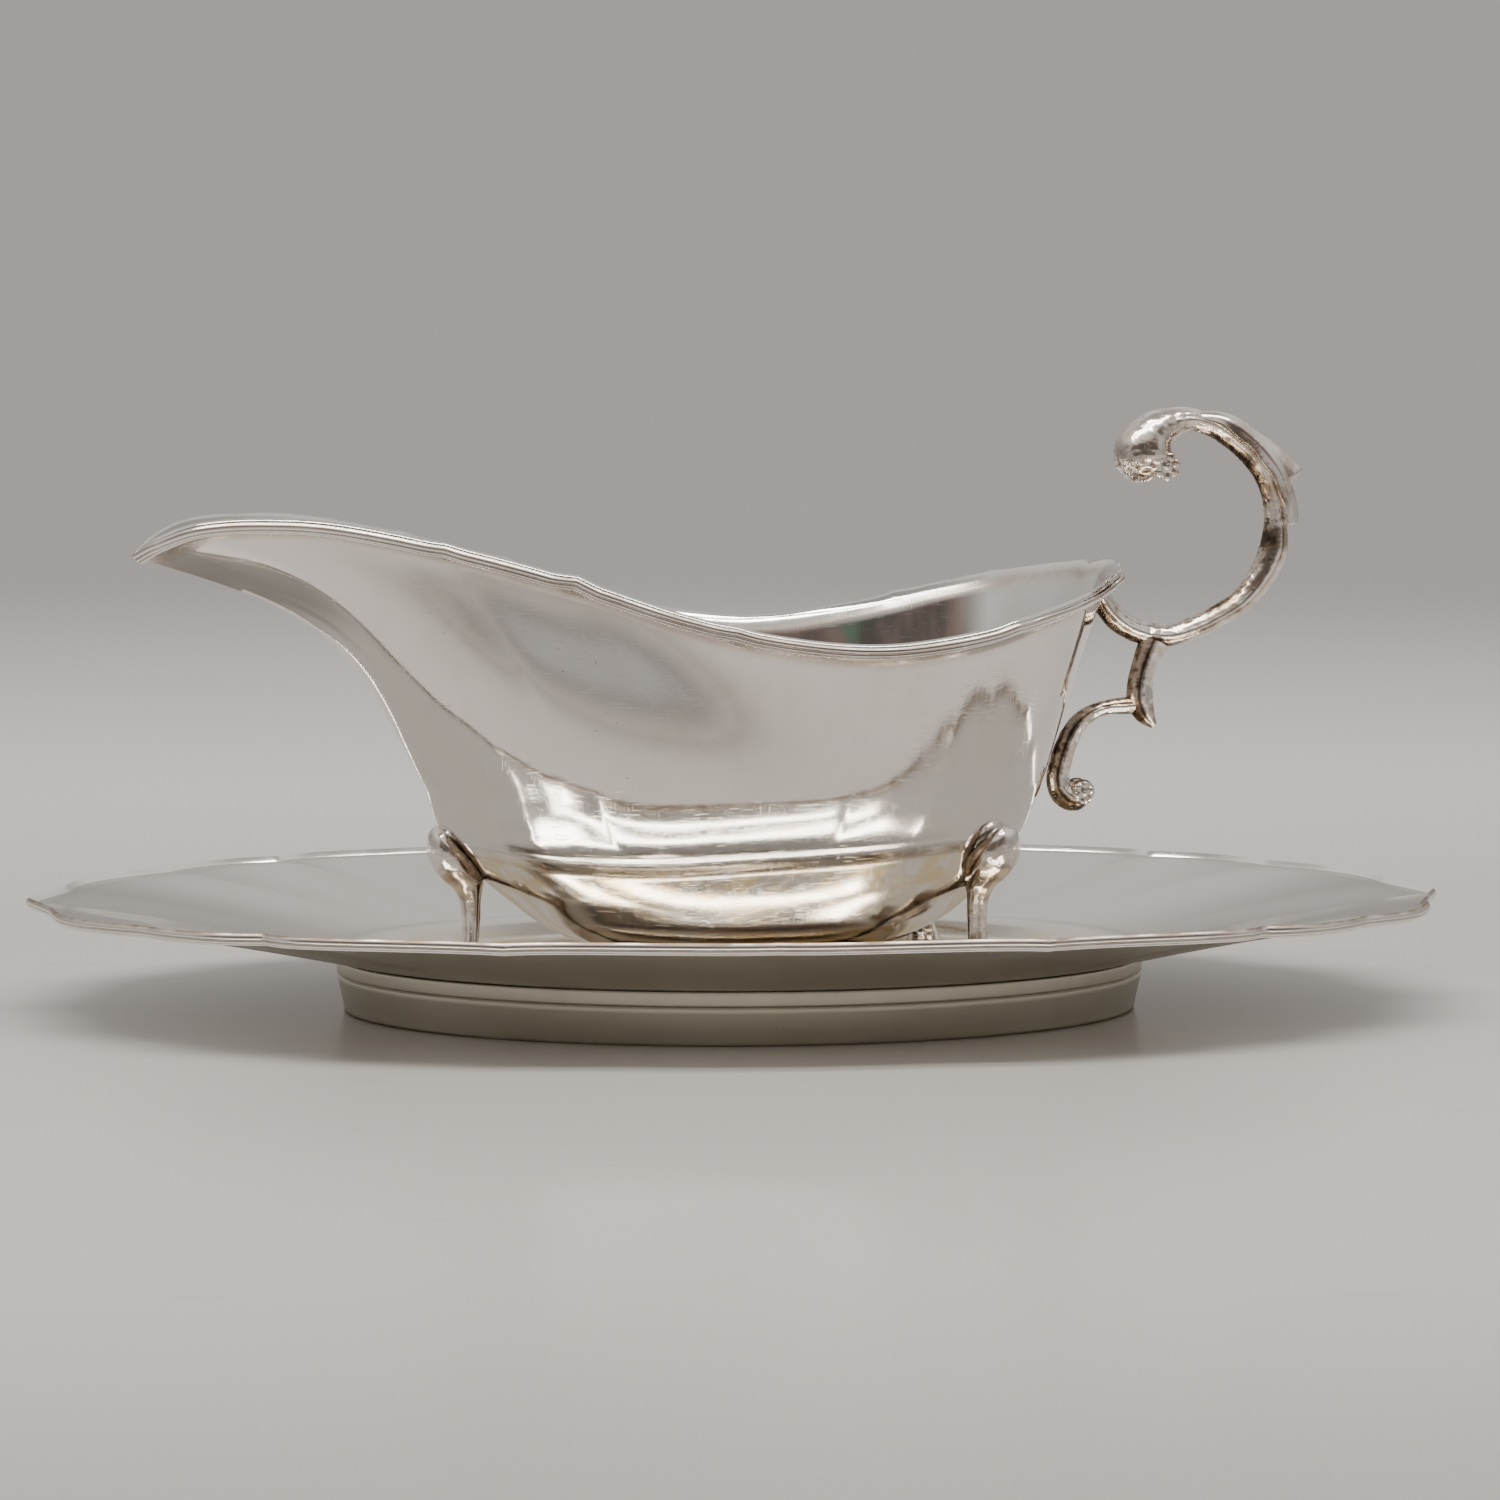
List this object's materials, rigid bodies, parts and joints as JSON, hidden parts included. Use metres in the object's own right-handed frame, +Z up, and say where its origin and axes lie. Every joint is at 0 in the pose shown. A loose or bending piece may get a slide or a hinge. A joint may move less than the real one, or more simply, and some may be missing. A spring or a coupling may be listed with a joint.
{
  "type": "sauce_boat",
  "caption": "Silver sauce boat with a long pouring lip, flying scroll handle and cast feet, resting loose on its own shaped oval stand.",
  "frame": {"origin": "centre of the stand's outline, on the table under the foot ring", "axes": "+X along the stand's length towards the handle, +Z up; the boat is turned 10 degrees about Z on the stand"},
  "size_m": [0.24, 0.131, 0.1024],
  "materials": {
    "silver_sheet": "raised sheet silver, satin outside from polishing, soft tarnish low down",
    "silver_border": "reeded wire border, polished, tarnish in the lines",
    "silver_cast": "cast and chased silver, dark tarnish in the recesses",
    "silver_dish": "satin silver with a warm olive tarnish"
  },
  "bodies": {
    "stand": {"stand_dish": "silver_dish", "stand_border": "silver_border", "stand_foot_ring": "silver_dish"},
    "boat": {"boat_body": "silver_sheet", "boat_border": "silver_border", "handle_scroll": "silver_cast", "handle_leaf": "silver_cast", "handle_lower_scroll": "silver_cast", "foot_front": "silver_cast", "foot_rear_left": "silver_cast", "foot_rear_right": "silver_cast"}
  },
  "joints": [
    {"name": "boat_lift", "type": "slide", "parent": "stand", "child": "boat", "axis": [0, 0, 1], "range_m": [0, 0.12]}
  ]
}
